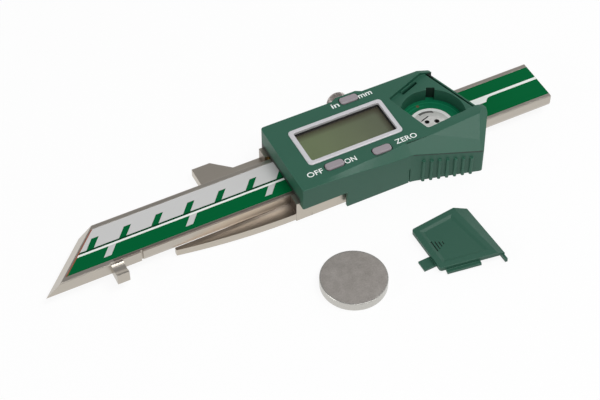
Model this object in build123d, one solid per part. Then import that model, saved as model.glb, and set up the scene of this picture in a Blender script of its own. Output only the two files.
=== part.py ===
"""Digital chamfer gauge: a slider with a display head that runs on a flat steel beam.

The beam ends in a 45 degree knife edge and carries one fixed lug. The slider carries a long thin
jaw beside the lug, a short jaw on the far side, and a moulded head with a display, three keys and
an open battery bay. The coin cell and the battery cover lie beside the gauge.

Millimetres. +X runs along the beam away from its knife end, +Y points to the lock screw, +Z is up.
The origin is on the resting face of the slider's back, under the middle of the beam.
"""
from build123d import *
import math
import os

# Beam
beam_width = 16.0
beam_thickness = 4.0
beam_length = 169.5
beam_end_x = 60.0
tip_angle = 45.0
knife_run = 3.3
beam_edge_chamfer = 0.25
near_land_proud = 0.45
undercut_start_x = -79.0
undercut_height = 1.0
undercut_depth = 0.3
relief_notch = 0.6
lug_right_x = -85.4
lug_width = 3.8
lug_reach = 5.0
lug_grind_radius = 4.0
lug_grind_depth = 0.5

# Scale board and printed label, laid in a shallow recess of the beam
scale_width = 13.2
scale_middle_y = -0.2
scale_margin = 0.4
scale_board_thickness = 0.5
label_thickness = 0.2
glue_gap = 0.05

# Stop plate under the beam's square end
stop_end_inset = 3.0
stop_length = 6.0
stop_width = 11.0
stop_thickness = 1.8
stop_screw_spacing = 6.0
small_screw_radius = 0.8
small_head_radius = 1.5
small_head_height = 0.8
small_screw_length = 3.6

# Slider frame
back_thickness = 3.4
slide_gap = 0.1
frame_left_x = -31.5
frame_right_x = 26.5
near_side_y = -12.15
far_side_y = 13.2
rail_height = 4.0
rail_gap = 0.1
jaw_relief = 0.6
near_jaw_tip_x = -69.0
near_jaw_inner_y = -7.5
near_jaw_tip_width = 1.1
jaw_grind_radius = 8.0
jaw_grind_depth = 0.45
far_jaw_left_x = -52.0
far_jaw_flat_x = -46.0
far_jaw_foot_x = -40.4
far_jaw_reach_y = 18.1
web_near_y = -4.5
web_bevel = 3.0

# Gib strip, its grub screws and the lock screw
gib_thickness = 1.0
gib_gap = 0.08
gib_height = 3.0
gib_end_gap = 1.0
gib_screw_offset = 17.0
gib_screw_radius = 1.0
gib_screw_sink = 0.4
driver_slot_width = 0.4
driver_slot_depth = 0.5
lock_x = 0.0
lock_shank_radius = 1.2
lock_hole_clearance = 0.08
lock_neck_radius = 1.7
lock_neck_room = 0.3
lock_knob_radius = 3.4
lock_knob_start_y = 17.4
lock_knob_end_y = 23.2
lock_tip_gap = 0.3
knurl_count = 20
knurl_depth = 0.3

# Moulded housing
housing_left_x = -30.2
housing_near_y = -14.05
housing_far_y = 14.65
housing_top_z = 14.5
housing_bottom_z = 0.1
top_wall = 1.2
side_wall = 1.0
raised_skirt_z = 6.3
raised_skirt_end_x = -15.3
grip_start_x = 7.0
grip_corner_x = 28.3
grip_corner_y = -19.9
nose_x = 35.9
nose_y = -8.8
far_right_x = 28.4
grip_blend_radius = 8.0
grip_corner_radius = 0.9
nose_radius = 2.4
left_far_radius = 1.0
small_corner_radius = 0.5
end_crease_far_x = 24.1
end_crease_near = (33.6, -8.0)
end_bevel_drop = 1.6
beam_clearance = 0.3
bump_foot_length = 10.5
bump_crest_length = 6.9
bump_proud = 1.0
bump_bottom_z = 10.5
rib_count = 7
rib_pitch = 2.5
rib_first_x = 10.2
rib_width = 1.0
rib_proud = 0.7
rib_top_drop = 2.0
groove_x = 5.8
groove_width = 0.4
groove_depth = 0.4
groove_top_z = 6.0

# Sloping facet along the near edge of the top: x, width in from the wall, drop at the wall
facet_stations = [
    (-32.0, 0.75, 0.6),
    (-17.0, 1.8, 1.6),
    (-7.0, 1.9, 1.9),
    (5.5, 2.65, 3.2),
    (28.0, 9.9, 5.9),
    (38.0, 13.0, 7.7),
]
facet_overcut = 0.35

# Battery bay
bay_corner = (10.3, 8.0)
bay_far_point = (24.4, 13.45)
bay_front_corner = (15.1, -8.3)
bay_front_angle = 5.6
bay_corner_radius = 1.0
bay_far_radius = 2.0
seat_z = 13.0
bay_wall = 0.8
lip_room = 0.85
lip_ledge_z = 11.2
end_wall = 0.5
end_wall_top_z = 12.6
end_slot = 0.9
well_centre = (20.3, -2.4)
cell_radius = 10.0
cell_height = 3.2
cell_gap = 0.2
well_wall = 1.9
well_roof = 0.4
notch_angle = 65.0
leaf_slot_angle = 236.0
notch_width = 2.7
notch_depth = 1.0
clip_slot_length = 6.9
clip_slot_width = 0.9
clip_slot_offset = 9.0
clip_slot_inset = 1.0
clip_slot_depth = 1.0
keeper_width = 0.35
keeper_height = 0.5
keeper_inset = 0.3

# Battery cover
cover_gap = 0.15
tab_width = 3.7
tab_reach = 3.6
tab_root = 1.5
tab_thickness = 0.75
tab_offset = 4.5
tab_rise = 0.15
tongue_start = 2.0
tongue_length = 10.5
tongue_reach = 1.0
tongue_thickness = 0.7
clip_rib_depth = 0.9
hook_reach = 1.6
pad_depth = 0.3
pad_inset = 1.9
pad_slope = 1.0
arrow_offset = (5.3, -7.6)
arrow_bar_width = 0.35
arrow_bar_pitch = 0.95
arrow_bar_lengths = (4.2, 3.2, 2.2, 1.2)
arrow_depth = 0.3

# Circuit board and what stands on it
board_gap = 0.3
board_thickness = 0.8
board_edge_gap = 0.3
peg_radius = 0.7
peg_clearance = 0.05
peg_x = -26.8
peg_y = 5.0
standoff_radius = 1.5
boss_radius = 1.8
boss_positions = [(-26.3, -10.2), (-26.3, 11.0), (9.5, -10.2), (9.5, 11.0)]
boss_screw_radius = 0.85
boss_screw_bite = 3.5
frame_hole_radius = 1.1
frame_head_radius = 1.9
frame_head_depth = 1.2
frame_head_sink = 0.15
contact_inset = 3.0
contact_rim = 1.2
contact_offset = (-0.6, -0.6)
contact_sheet = 0.2
contact_rise = 0.65
contact_holes = [(132.0, 1.5), (3.0, 1.9)]
contact_hole_radius = 0.35
contact_slit_angle = 108.0
contact_slit_distance = 2.85
contact_slit_length = 3.2
contact_slit_width = 0.45
chip_size = 7.0
chip_height = 0.8
dome_size = 3.2
dome_base_height = 0.9
dome_radius = 1.1
dome_height = 0.4

# Display
bezel_centre = (-7.95, 1.65)
bezel_length = 31.9
bezel_depth = 15.3
bezel_border = 1.4
bezel_proud = 0.3
bezel_corner = 1.3
bezel_gap = 0.05
window_thickness = 0.6
window_ledge = 0.6
lcd_thickness = 1.0
zebra_width = 1.6

# Keys: centre of the cap, centre of the stem
key_length = 6.0
key_depth = 2.7
key_corner = 1.0
key_proud = 0.5
key_edge = 0.35
key_gap = 0.3
key_travel = 0.5
key_rest_gap = 0.1
key_flange_reach = 1.2
key_flange_back = 0.4
key_flange_height = 0.7
key_stem_radius = 1.0
keys = {
    "in_mm_button": ((-0.6, 13.4), (-0.6, 11.9)),
    "power_button": ((-17.1, -8.8), (-17.1, -8.8)),
    "zero_button": ((-1.6, -9.7), (-1.6, -9.7)),
}

# Where the loose pieces lie
loose_cell_centre = (-27.6, -41.1)
loose_cover_corner = (-3.75, -32.25)
loose_cover_turn = -16.0

# Heights and lines worked out from the sizes above
beam_bottom_z = back_thickness + slide_gap
beam_top_z = beam_bottom_z + beam_thickness
beam_half = beam_width / 2
near_land_y = -(beam_half + near_land_proud)
tip_x = beam_end_x - beam_length
lug_left_x = lug_right_x - lug_width
scale_depth = scale_board_thickness + label_thickness
stop_middle_x = beam_end_x - stop_end_inset - stop_length / 2
board_bottom_z = beam_top_z + board_gap
board_top_z = board_bottom_z + board_thickness
inner_top_z = housing_top_z - top_wall
rail_top_z = back_thickness + rail_height
near_rail_inner_y = -(beam_half + slide_gap)
far_rail_inner_y = beam_half + gib_gap + gib_thickness + gib_gap
screw_z = back_thickness + rail_height / 2
well_radius = cell_radius + cell_gap
contact_radius = cell_radius - contact_inset
grip_slope = (grip_corner_y - housing_near_y) / (grip_corner_x - grip_start_x)
past = 1.0


def along(heading):
    """The level direction at a heading in degrees."""
    return Vector(math.cos(math.radians(heading)), math.sin(math.radians(heading)), 0)


tip_dir = along(tip_angle)
tip_inward = along(tip_angle - 90)
tip_lean = tip_dir.X / tip_dir.Y


def block(x0, x1, y0, y1, z0, z1):
    """A box between two corners."""
    size = (x1 - x0, y1 - y0, z1 - z0)
    return Pos((x0 + x1) / 2, (y0 + y1) / 2, (z0 + z1) / 2) * Box(*size)


def rod(x, y, z0, z1, radius):
    """An upright cylinder."""
    return Pos(x, y, z0) * Cylinder(radius, z1 - z0, align=(Align.CENTER, Align.CENTER, Align.MIN))


def cross_rod(x, y0, y1, z, radius):
    """A cylinder along Y."""
    turned = Plane(origin=(x, y0, z), x_dir=(1, 0, 0), z_dir=(0, 1, 0))
    return turned * Cylinder(radius, y1 - y0, align=(Align.CENTER, Align.CENTER, Align.MIN))


def outline(points, radii):
    """A closed face through corner points, each rounded by its radius."""
    return make_face(FilletPolyline(*points, radius=radii, close=True))


def slab(face, z0, z1):
    """A flat face on the XY plane raised to a slab between two heights."""
    return Pos(0, 0, z0) * extrude(face, z1 - z0)


def above(origin, x_dir, normal):
    """Everything near the part that lies above a sloping plane."""
    reach = 4 * beam_length
    if normal.Z < 0:
        normal = normal * -1
    base = Plane(origin=origin, x_dir=x_dir, z_dir=normal)
    return base * Box(reach, reach, reach, align=(Align.CENTER, Align.CENTER, Align.MIN))


def near_wall_y(x):
    """Outer face of the housing's near wall and grip at x."""
    return housing_near_y + grip_slope * max(0.0, x - grip_start_x)


def tip_cut():
    """The 45 degree knife end: all that lies above its sloping face."""
    rise = tip_inward * knife_run + Vector(0, 0, beam_thickness)
    return above((tip_x, near_land_y, beam_bottom_z), tip_dir, rise.cross(tip_dir))


def scale_outline(inset, end_x):
    """Plan of the label recess: square at the beam's end, slanted along the knife face."""
    edge = Vector(tip_x, near_land_y, 0) + tip_inward * (knife_run + scale_margin + inset)
    near_y = scale_middle_y - scale_width / 2 + inset
    far_y = scale_middle_y + scale_width / 2 - inset
    near_x = edge.X + (near_y - edge.Y) * tip_lean
    far_x = edge.X + (far_y - edge.Y) * tip_lean
    return make_face(Polyline((near_x, near_y), (end_x, near_y), (end_x, far_y), (far_x, far_y), close=True))


def make_lug():
    """The fixed lug on the near edge, hollow ground across its top."""
    top_z = beam_top_z - beam_edge_chamfer
    lug = block(lug_left_x, lug_right_x, -beam_half - lug_reach, -beam_half + past, beam_bottom_z, top_z)
    grind = Rot(0, 90, 0) * Cylinder(lug_grind_radius, lug_width + 2 * past)
    return lug - Pos((lug_left_x + lug_right_x) / 2, -beam_half - lug_reach / 2,
                     top_z + lug_grind_radius - lug_grind_depth) * grind


def make_beam_bar():
    far_x = tip_x + (beam_half - near_land_y) * tip_lean
    plan = make_face(Polyline((tip_x, near_land_y), (lug_left_x, near_land_y), (lug_left_x, -beam_half),
                              (beam_end_x, -beam_half), (beam_end_x, beam_half), (far_x, beam_half),
                              close=True))
    bar = slab(plan, beam_bottom_z, beam_top_z)
    long_edges = bar.edges().filter_by(Axis.X).group_by(Axis.Z)[-1]
    bar = chamfer(long_edges, beam_edge_chamfer)
    bar = bar + make_lug() - tip_cut()
    undercut = Plane.YZ * make_face(Polyline(
        (-beam_half - past, beam_bottom_z + undercut_height),
        (-beam_half, beam_bottom_z + undercut_height),
        (-beam_half + undercut_depth, beam_bottom_z),
        (-beam_half + undercut_depth, beam_bottom_z - past),
        (-beam_half - past, beam_bottom_z - past), close=True))
    bar = bar - Pos(undercut_start_x, 0, 0) * extrude(undercut, beam_length)
    bar = bar - block(undercut_start_x - relief_notch, undercut_start_x, -beam_half - past,
                      -beam_half + relief_notch, beam_bottom_z - past, beam_top_z + past)
    bar = bar - slab(scale_outline(0, beam_end_x + past), beam_top_z - scale_depth, beam_top_z + past)
    hole_top = beam_bottom_z - stop_thickness + small_screw_length + glue_gap
    for y in (-stop_screw_spacing / 2, stop_screw_spacing / 2):
        bar = bar - rod(stop_middle_x, y, beam_bottom_z - past, hole_top, small_screw_radius + glue_gap)
    return bar


def make_scale_board():
    low = beam_top_z - scale_depth
    return slab(scale_outline(glue_gap, beam_end_x), low, low + scale_board_thickness)


def make_scale_label():
    return slab(scale_outline(glue_gap, beam_end_x), beam_top_z - label_thickness, beam_top_z)


def make_end_stop():
    stop = block(stop_middle_x - stop_length / 2, stop_middle_x + stop_length / 2,
                 -stop_width / 2, stop_width / 2, beam_bottom_z - stop_thickness, beam_bottom_z)
    for screw in make_end_stop_screws(glue_gap):
        stop = stop - screw
    return stop


def make_end_stop_screws(extra):
    """The two countersunk screws of the end stop, grown by a clearance where extra is given."""
    low = beam_bottom_z - stop_thickness
    screws = []
    for y in (-stop_screw_spacing / 2, stop_screw_spacing / 2):
        head = Pos(stop_middle_x, y, low) * Cone(
            small_head_radius + extra, small_screw_radius + extra, small_head_height,
            align=(Align.CENTER, Align.CENTER, Align.MIN))
        shank = rod(stop_middle_x, y, low, low + small_screw_length, small_screw_radius + extra)
        screws.append(head + shank)
    return screws


def make_slider_frame():
    """Back plate with both jaws, and the two rails that guide the beam."""
    tip_y = near_jaw_inner_y - near_jaw_tip_width
    sweep_run = frame_left_x - near_jaw_tip_x
    sweep_drop = tip_y - near_side_y
    radius = (sweep_run ** 2 + sweep_drop ** 2) / (2 * sweep_drop)
    half_angle = math.asin(sweep_run / radius) / 2
    mid = (frame_left_x - radius * math.sin(half_angle),
           near_side_y + radius * (1 - math.cos(half_angle)))
    jaw_edge = ThreePointArc((near_jaw_tip_x, tip_y), mid, (frame_left_x, near_side_y))
    rest = Polyline((frame_left_x, near_side_y), (frame_right_x, near_side_y),
                    (frame_right_x, far_side_y), (far_jaw_foot_x, far_side_y),
                    (far_jaw_flat_x, far_jaw_reach_y), (far_jaw_left_x, far_jaw_reach_y),
                    (far_jaw_left_x, web_near_y), (far_jaw_left_x + web_bevel, near_jaw_inner_y),
                    (near_jaw_tip_x, near_jaw_inner_y), (near_jaw_tip_x, tip_y))
    frame = slab(make_face(Wire([jaw_edge] + list(rest.edges()))), 0, back_thickness)
    frame = frame - block(near_jaw_tip_x - past, frame_left_x, near_side_y - past,
                          far_jaw_reach_y + past, -past, jaw_relief)
    frame = frame - jaw_grind()
    frame = frame + block(frame_left_x, frame_right_x, near_side_y, near_rail_inner_y, 0, rail_top_z)
    frame = frame + block(frame_left_x, frame_right_x, far_rail_inner_y, far_side_y, 0, rail_top_z)
    for x, y in boss_positions:
        frame = frame - rod(x, y, -past, housing_top_z, frame_hole_radius)
        frame = frame - rod(x, y, -past, frame_head_depth, frame_head_radius + glue_gap)
    for x in gib_screw_places():
        frame = frame - cross_rod(x, beam_half, far_side_y + past, screw_z, gib_screw_radius + glue_gap)
    return frame - cross_rod(lock_x, beam_half, far_side_y + past, screw_z,
                             lock_shank_radius + lock_hole_clearance)


def jaw_grind():
    """The shallow hollow ground along the top of the long jaw."""
    run = frame_left_x - near_jaw_tip_x
    lean = math.degrees(math.atan2((near_side_y - near_jaw_inner_y) / 2, run))
    start = Vector(near_jaw_tip_x - past, near_jaw_inner_y - near_jaw_tip_width / 2,
                   back_thickness + jaw_grind_radius - jaw_grind_depth)
    groove = Rot(0, 90, 0) * Cylinder(jaw_grind_radius, run + past,
                                      align=(Align.CENTER, Align.CENTER, Align.MIN))
    return Pos(start) * Rot(0, 0, lean) * groove


def gib_screw_places():
    """The two gib screws, one each side of the frame's middle."""
    middle = (frame_left_x + frame_right_x) / 2
    return (middle - gib_screw_offset, middle + gib_screw_offset)


def make_gib_strip():
    low = back_thickness + glue_gap + (rail_height - gib_height) / 2
    return block(frame_left_x + gib_end_gap, frame_right_x - gib_end_gap, beam_half + gib_gap,
                 far_rail_inner_y - gib_gap, low, low + gib_height)


def make_gib_screws():
    inner = far_rail_inner_y - gib_gap + glue_gap
    outer = far_side_y - gib_screw_sink
    half_slot = driver_slot_width / 2
    screws = []
    for x in gib_screw_places():
        screw = cross_rod(x, inner, outer, screw_z, gib_screw_radius)
        slot = block(x - gib_screw_radius, x + gib_screw_radius, outer - driver_slot_depth, outer + past,
                     screw_z - half_slot, screw_z + half_slot)
        screws.append(screw - slot)
    return screws


def make_lock_screw():
    """Thumb screw: knurled knob, plain neck and the shank that presses on the gib strip."""
    shank = cross_rod(lock_x, far_rail_inner_y - gib_gap + lock_tip_gap, lock_knob_start_y, screw_z,
                      lock_shank_radius)
    neck = cross_rod(lock_x, far_side_y + lock_tip_gap, lock_knob_start_y, screw_z, lock_neck_radius)
    knob = cross_rod(lock_x, lock_knob_start_y, lock_knob_end_y, screw_z, lock_knob_radius)
    knob = chamfer(knob.edges().filter_by(GeomType.CIRCLE), knurl_depth)
    across = Plane(origin=(lock_x, lock_knob_start_y - past, screw_z), x_dir=(1, 0, 0), z_dir=(0, 1, 0))
    tooth_side = knurl_depth * math.sqrt(2)
    tooth = Pos(lock_knob_radius, 0) * Rot(0, 0, 45) * Rectangle(tooth_side, tooth_side)
    teeth = PolarLocations(0, knurl_count) * tooth
    knob = knob - across * extrude(Sketch() + teeth, lock_knob_end_y - lock_knob_start_y + 2 * past)
    return shank + neck + knob


def housing_plan(inset):
    """Plan of the moulded head, with its grip and slanted end, moved in by a wall."""
    points = [(housing_left_x, housing_near_y), (grip_start_x, housing_near_y),
              (grip_corner_x, grip_corner_y), (nose_x, nose_y), (far_right_x, housing_far_y),
              (housing_left_x, housing_far_y)]
    plan = outline(points, [small_corner_radius, grip_blend_radius, grip_corner_radius, nose_radius,
                            small_corner_radius, left_far_radius])
    if inset > 0:
        plan = offset(plan, -inset, kind=Kind.INTERSECTION)
    return plan


def facet_cut(inward):
    """The sloping facet along the near edge of the top, moved in by a wall where inward is given."""
    sections = []
    for x, width, drop in facet_stations:
        wall_y = near_wall_y(x)
        top_y = wall_y + width * (1 + facet_overcut)
        top_z = housing_top_z + drop * facet_overcut
        low_y = wall_y - width * facet_overcut
        low_z = housing_top_z - drop * (1 + facet_overcut)
        face = make_face(Polyline((top_y, top_z), (low_y, low_z), (low_y, top_z), close=True))
        sections.append(Plane(origin=(x, 0, 0), x_dir=(0, 1, 0), z_dir=(1, 0, 0)) * face)
    return Pos(0, inward, -inward) * loft(sections, ruled=True)


def end_bevel_cut(lower):
    """The bevel that runs down to the slanted right end, moved down by a wall."""
    start = Vector(end_crease_far_x, housing_far_y, housing_top_z - lower)
    crease = Vector(end_crease_near[0], end_crease_near[1], housing_top_z - lower) - start
    fall = Vector(far_right_x, housing_far_y, housing_top_z - lower - end_bevel_drop) - start
    return above(start, crease, crease.cross(fall))


def end_strip(inset, width):
    """Plan strip along the slanted right end, from an inset inwards."""
    run = Vector(nose_x - far_right_x, nose_y - housing_far_y, 0)
    heading = math.degrees(math.atan2(run.Y, run.X))
    strip = Pos(run.length / 2, -inset - width / 2) * Rectangle(2 * run.length, width)
    return Pos(far_right_x, housing_far_y) * Rot(0, 0, heading) * strip


def bay_front_y(x):
    """The battery opening's front edge at x."""
    front_x, front_y = bay_front_corner
    return front_y + (x - front_x) * math.tan(math.radians(bay_front_angle))


def bay_plan(inset):
    """Plan of the battery opening, open past the right end of the head, moved in or out by a gap."""
    end_x = nose_x + 10 * past
    points = [bay_corner, bay_front_corner, (end_x, bay_front_y(end_x)), (end_x, bay_far_point[1]),
              bay_far_point]
    plan = outline(points, [bay_corner_radius, bay_corner_radius, 0, 0, bay_far_radius])
    if inset != 0:
        plan = offset(plan, -inset, kind=Kind.INTERSECTION)
    return plan


def bay_bar(start, end, distance, inset, length, width):
    """A plan bar beside one side of the battery opening, at a distance from that side's start."""
    run = Vector(end[0] - start[0], end[1] - start[1], 0)
    heading = math.degrees(math.atan2(run.Y, run.X))
    middle = Vector(*start, 0) + along(heading) * distance + along(heading - 90) * inset
    return Pos(middle.X, middle.Y) * Rot(0, 0, heading) * Rectangle(length, width)


def clip_bar(inset, width, length, z0, z1):
    """A bar along the far side of the opening, for the clip slot, its keeper and the cover's rib."""
    return slab(bay_bar(bay_corner, bay_far_point, clip_slot_offset, inset, length, width), z0, z1)


def grip_rib(index):
    """One upright rib on the grip, its top a set drop below the facet."""
    lean = math.degrees(math.atan(grip_slope))
    x = rib_first_x + index * rib_pitch * math.cos(math.radians(lean))
    (x0, width0, drop0), (x1, width1, drop1) = facet_stations[3:5]
    facet_drop = drop0 + (drop1 - drop0) * (x - x0) / (x1 - x0)
    rib = Rectangle(rib_width, 2 * rib_proud, align=(Align.CENTER, Align.CENTER))
    rib = chamfer(rib.vertices().group_by(Axis.Y)[0], rib_width / 4)
    rib = Pos(x, near_wall_y(x)) * Rot(0, 0, lean) * rib
    return slab(rib, housing_bottom_z, housing_top_z - facet_drop - rib_top_drop)


def far_bump():
    """The raised stretch of the far wall behind the in/mm key."""
    x = keys["in_mm_button"][0][0]
    crest_y = housing_far_y + bump_proud
    face = make_face(Polyline((x - bump_foot_length / 2, housing_far_y - side_wall / 2),
                              (x - bump_foot_length / 2, housing_far_y),
                              (x - bump_crest_length / 2, crest_y), (x + bump_crest_length / 2, crest_y),
                              (x + bump_foot_length / 2, housing_far_y),
                              (x + bump_foot_length / 2, housing_far_y - side_wall / 2), close=True))
    return slab(face, bump_bottom_z, housing_top_z)


def key_cap(name, extra, z0, z1):
    """The rounded block of one key's cap, or its hole where extra is given."""
    x, y = keys[name][0]
    face = RectangleRounded(key_length + 2 * extra, key_depth + 2 * extra, key_corner + extra)
    return slab(Pos(x, y) * face, z0, z1)


def key_flange(name, extra, z0, z1):
    """The flange that stops one key under the top, or the room for it where extra is given."""
    (cap_x, cap_y), (_, stem_y) = keys[name]
    half = key_length / 2 + key_flange_reach + extra
    return block(cap_x - half, cap_x + half, min(cap_y, stem_y) - key_depth / 2 - extra,
                 cap_y + key_depth / 2 - key_flange_back + extra, z0, z1)


def key_pocket(name):
    """Room for one key: its cap's hole in the top, and its flange's travel below."""
    low = inner_top_z - key_gap - key_flange_height - key_travel - key_gap
    return key_cap(name, key_gap, low, housing_top_z + past) + key_flange(name, key_gap, low, inner_top_z)


def make_cavity():
    """The head's hollow: all inside its walls but the battery well, the bosses and the stand-offs."""
    cavity = slab(housing_plan(side_wall), housing_bottom_z - past, inner_top_z)
    cavity = cavity - facet_cut(side_wall) - end_bevel_cut(top_wall)
    cavity = cavity - rod(*well_centre, board_top_z, seat_z, well_radius + well_wall)
    cavity = cavity - slab(bay_plan(-bay_wall), seat_z - top_wall, inner_top_z)
    cavity = cavity - slab(end_strip(0, lip_room + end_wall) & bay_plan(-bay_wall),
                           board_top_z + board_edge_gap, inner_top_z)
    for x, y in boss_positions:
        cavity = cavity - rod(x, y, rail_top_z + rail_gap, inner_top_z, boss_radius)
    for y in (-peg_y, peg_y):
        cavity = cavity - rod(peg_x, y, board_top_z, inner_top_z, standoff_radius)
        cavity = cavity - rod(peg_x, y, board_bottom_z, board_top_z, peg_radius)
    return cavity


def cut_battery_bay(shell):
    """The opening with its seat and end slot, the round well, and the slots round them."""
    shell = shell - slab(bay_plan(0), seat_z, housing_top_z + past)
    shell = shell - slab(end_strip(-past, past + lip_room) & bay_plan(0), lip_ledge_z, seat_z + past)
    shell = shell - slab(end_strip(lip_room / 2, lip_room / 2 + end_wall) & bay_plan(0), end_wall_top_z,
                         seat_z + past)
    shell = shell - slab(end_strip(lip_room + end_wall, end_slot) & bay_plan(0),
                         seat_z - top_wall - clip_slot_depth, seat_z + past)
    hook_room = end_strip(-past, past + lip_room) & (Pos(0, -hook_reach) * bay_plan(0))
    shell = shell - slab(hook_room, lip_ledge_z, seat_z)
    well = rod(*well_centre, board_top_z - past, seat_z, well_radius) - facet_cut(well_roof)
    shell = shell - well
    shell = shell - well_slot(notch_angle, housing_top_z)
    shell = shell - well_slot(leaf_slot_angle, seat_z - cell_gap)
    shell = shell - clip_bar(clip_slot_inset, clip_slot_width, clip_slot_length,
                             seat_z - top_wall - clip_slot_depth, seat_z + past)
    return shell + clip_bar(keeper_inset, keeper_width, clip_slot_length, seat_z - cell_gap,
                            seat_z + keeper_height)


def make_housing():
    shell = slab(housing_plan(0), housing_bottom_z, housing_top_z) + far_bump()
    shell = shell - facet_cut(0) - end_bevel_cut(0) - make_cavity()
    for index in range(rib_count):
        shell = shell + grip_rib(index)
    shell = cut_battery_bay(shell)
    for name in keys:
        shell = shell - key_pocket(name)
    shell = shell - slab(Pos(*bezel_centre) * RectangleRounded(
        bezel_length + 2 * bezel_gap, bezel_depth + 2 * bezel_gap, bezel_corner),
        inner_top_z - past, housing_top_z + past)
    for x, y in boss_positions:
        shell = shell - rod(x, y, 0, rail_top_z + boss_screw_bite + past, boss_screw_radius + glue_gap)
    shell = shell - block(housing_left_x - past, nose_x + past, near_rail_inner_y, far_rail_inner_y,
                          -past, beam_top_z + beam_clearance)
    shell = shell - block(frame_left_x, frame_right_x + rail_gap, near_side_y - rail_gap,
                          far_side_y + rail_gap, -past, rail_top_z + rail_gap)
    shell = shell - block(housing_left_x - past, raised_skirt_end_x, grip_corner_y,
                          housing_far_y + past, -past, raised_skirt_z)
    shell = shell - cross_rod(lock_x, far_side_y, lock_knob_start_y, screw_z,
                              lock_neck_radius + lock_neck_room)
    wall_y = near_wall_y(groove_x)
    return shell - block(groove_x, groove_x + groove_width, wall_y - past, wall_y + groove_depth,
                         housing_bottom_z - past, groove_top_z)


def well_slot(angle, top_z):
    """An upright slot in the battery well's wall, at an angle round the well."""
    slot = Pos(well_radius + notch_depth / 2 - past / 2, 0) * Rectangle(notch_depth + past, notch_width)
    return slab(Pos(*well_centre) * Rot(0, 0, angle) * slot, board_top_z, top_z)


def make_display_bezel():
    body = slab(RectangleRounded(bezel_length, bezel_depth, bezel_corner),
                inner_top_z, housing_top_z + bezel_proud)
    body = chamfer(body.edges().group_by(Axis.Z)[-1], bezel_proud * 0.7)
    view_x = bezel_length - 2 * bezel_border
    view_y = bezel_depth - 2 * bezel_border
    body = body - slab(RectangleRounded(view_x, view_y, bezel_corner / 2),
                       inner_top_z - past, housing_top_z + past)
    rebate = Rectangle(view_x + 2 * window_ledge, view_y + 2 * window_ledge)
    body = body - slab(rebate, inner_top_z - past, inner_top_z + window_thickness)
    return Pos(*bezel_centre) * body


def make_display_window():
    view_x = bezel_length - 2 * bezel_border + 2 * window_ledge - 2 * bezel_gap
    view_y = bezel_depth - 2 * bezel_border + 2 * window_ledge - 2 * bezel_gap
    return slab(Pos(*bezel_centre) * Rectangle(view_x, view_y), inner_top_z,
                inner_top_z + window_thickness - bezel_gap)


def make_lcd_panel():
    face = Pos(*bezel_centre) * Rectangle(bezel_length - bezel_border, bezel_depth - bezel_border)
    return slab(face, inner_top_z - lcd_thickness - glue_gap, inner_top_z - glue_gap)


def make_zebra_strips():
    """The two rubber strips that join the display to the board."""
    offset_y = (bezel_depth - bezel_border) / 2 - zebra_width / 2
    strips = []
    for side in (-1, 1):
        face = Pos(bezel_centre[0], bezel_centre[1] + side * offset_y) * Rectangle(
            bezel_length - 4 * bezel_border, zebra_width)
        strips.append(slab(face, board_top_z, inner_top_z - lcd_thickness - glue_gap))
    return strips


def make_circuit_board():
    board = slab(housing_plan(side_wall + board_edge_gap), board_bottom_z, board_top_z)
    straight_y = housing_near_y + side_wall + board_edge_gap
    board = board - block(housing_left_x, nose_x, grip_corner_y - past, straight_y,
                          board_bottom_z, board_top_z)
    for x, y in boss_positions:
        board = board - rod(x, y, board_bottom_z, board_top_z, boss_radius + board_edge_gap)
    for y in (-peg_y, peg_y):
        board = board - rod(peg_x, y, board_bottom_z, board_top_z, peg_radius + peg_clearance)
    return board


def make_controller_chip():
    x, y = bezel_centre
    half = chip_size / 2
    return block(x - half, x + half, y - half, y + half, board_top_z, board_top_z + chip_height)


def make_switch_domes():
    """The three key switches on the board, each with its dome."""
    half = dome_size / 2
    base_top_z = board_top_z + dome_base_height
    domes = []
    for _, (x, y) in keys.values():
        base = block(x - half, x + half, y - half, y + half, board_top_z, base_top_z)
        domes.append(base + rod(x, y, base_top_z, base_top_z + dome_height, dome_radius))
    return domes


def make_negative_contact():
    """Dished spring plate on the board under the cell, with two holes and a slit."""
    low = board_top_z
    rim = contact_radius - contact_rim
    knee = rim * 0.55
    knee_z = low + contact_rise * 0.8
    profile = Polyline((0, low + contact_rise), (knee, knee_z), (rim, low), (contact_radius, low),
                       (contact_radius, low + contact_sheet), (rim + contact_sheet / 2, low + contact_sheet),
                       (knee, knee_z + contact_sheet), (0, low + contact_rise + contact_sheet), close=True)
    plate = revolve(Plane.XZ * make_face(profile), Axis.Z)
    top = low + contact_rise + contact_sheet + past
    for angle, distance in contact_holes:
        spot = along(angle) * distance
        plate = plate - rod(spot.X, spot.Y, low - past, top, contact_hole_radius)
    slit = Rot(0, 0, contact_slit_angle) * Pos(contact_slit_distance, 0) * Rectangle(
        contact_slit_width, contact_slit_length)
    return Pos(*well_centre) * Pos(*contact_offset) * (plate - slab(slit, low - past, top))


def make_positive_contact():
    """Bent leaf that stands in its slot of the battery well, on a foot on the board."""
    width = notch_width - 2 * cell_gap
    outer = well_radius + notch_depth - cell_gap
    foot_length = notch_depth + 1.4 * contact_rim
    leaf = Pos(outer - contact_sheet, 0) * Rectangle(2 * contact_sheet, width)
    foot = Pos(outer - foot_length / 2, 0) * Rectangle(foot_length, width)
    leaf = slab(leaf, board_top_z, seat_z - 2 * cell_gap) + slab(foot, board_top_z, board_top_z + contact_sheet)
    return Pos(*well_centre) * Rot(0, 0, leaf_slot_angle) * leaf


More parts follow.
